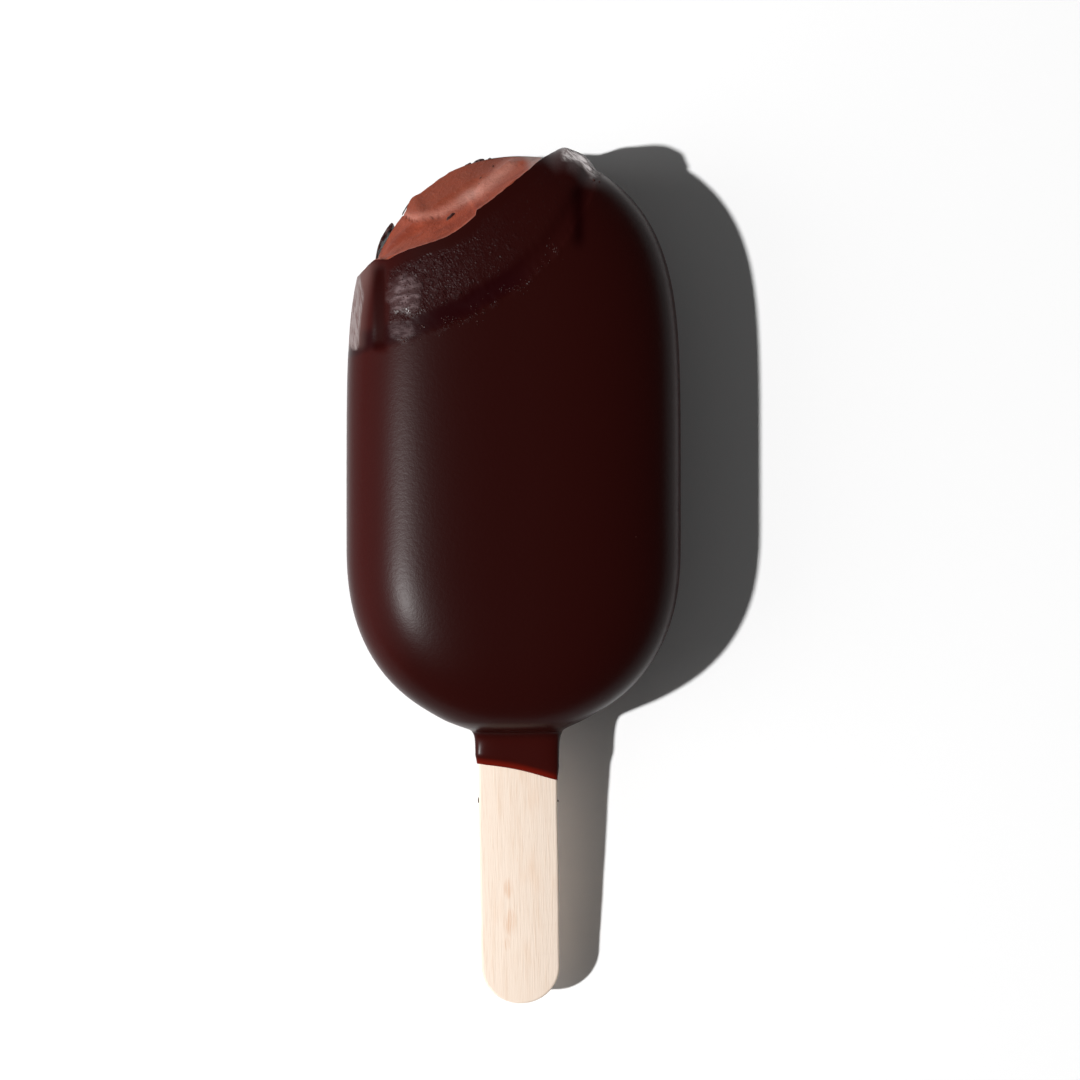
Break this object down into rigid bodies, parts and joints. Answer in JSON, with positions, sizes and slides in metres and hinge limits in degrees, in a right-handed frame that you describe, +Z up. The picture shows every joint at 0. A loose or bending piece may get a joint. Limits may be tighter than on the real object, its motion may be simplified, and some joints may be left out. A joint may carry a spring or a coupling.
{
  "type": "ice cream bar",
  "caption": "Chocolate ice cream bar on a flat wooden stick, dipped in dark chocolate, with a bite out of one corner.",
  "frame": {"origin": "centre of the bounding box, on the surface that the bar lies on", "axes": "+Z up from the side it lies on, +Y along the stick towards the bitten end, +X to the right seen from above"},
  "size_m": [0.0498, 0.1286, 0.0247],
  "materials": {
    "chocolate": "dark chocolate, satin with a fine orange-peel skin",
    "chocolate_ice_cream": "smooth frozen ice cream, matt",
    "birch": "bare sanded birch"
  },
  "bodies": {
    "root": {"coating": "chocolate", "ice_cream": "chocolate_ice_cream", "stick": "birch"}
  },
  "joints": []
}
